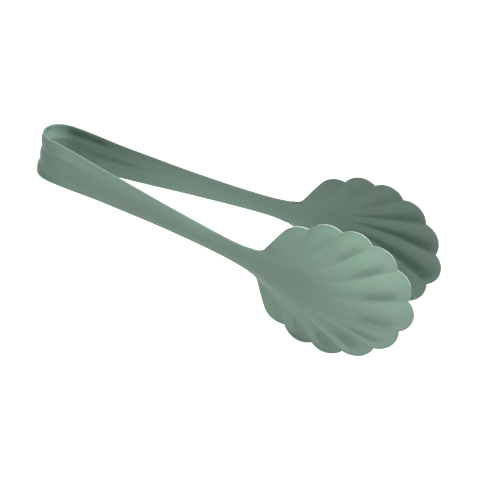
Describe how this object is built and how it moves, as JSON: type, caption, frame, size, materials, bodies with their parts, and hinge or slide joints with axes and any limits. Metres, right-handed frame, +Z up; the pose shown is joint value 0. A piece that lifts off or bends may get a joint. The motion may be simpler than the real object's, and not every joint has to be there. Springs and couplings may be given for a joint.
{
  "type": "serving tongs",
  "caption": "Spring serving tongs of coated sheet steel: a fluted bow, two tapering arms and two scallop-shell bowls that face each other.",
  "frame": {"origin": "middle of the bounding box at the surface that the tongs stand on edge on", "axes": "+X from the bow to the shells' tips, +Y from the front arm to the rear arm, +Z up; the strip's width leans back from +Z by the standing pitch of about 7.9 degrees"},
  "size_m": [0.239, 0.0824, 0.08],
  "materials": {
    "coated_steel": "satin sage-green powder coat"
  },
  "bodies": {
    "bow": {"spring_bow": "coated_steel"},
    "front_half": {"front_arm": "coated_steel", "front_shell": "coated_steel"},
    "rear_half": {"rear_arm": "coated_steel", "rear_shell": "coated_steel"}
  },
  "joints": [
    {"name": "rear_flex", "type": "hinge", "parent": "bow", "child": "rear_half", "pos_m": [-0.10711, 0.01128, 0.01445], "axis": [0.1382, 0, -0.9904], "range_deg": [0, 6.2], "stiffness_Nm_per_rad": 4.6},
    {"name": "front_flex", "type": "hinge", "parent": "bow", "child": "front_half", "pos_m": [-0.10711, -0.01128, 0.01445], "axis": [-0.1382, 0, 0.9904], "range_deg": [0, 6.2], "stiffness_Nm_per_rad": 4.6}
  ],
  "couplings": [
    {"joint": "front_flex", "follows": "rear_flex", "ratio": 1}
  ]
}
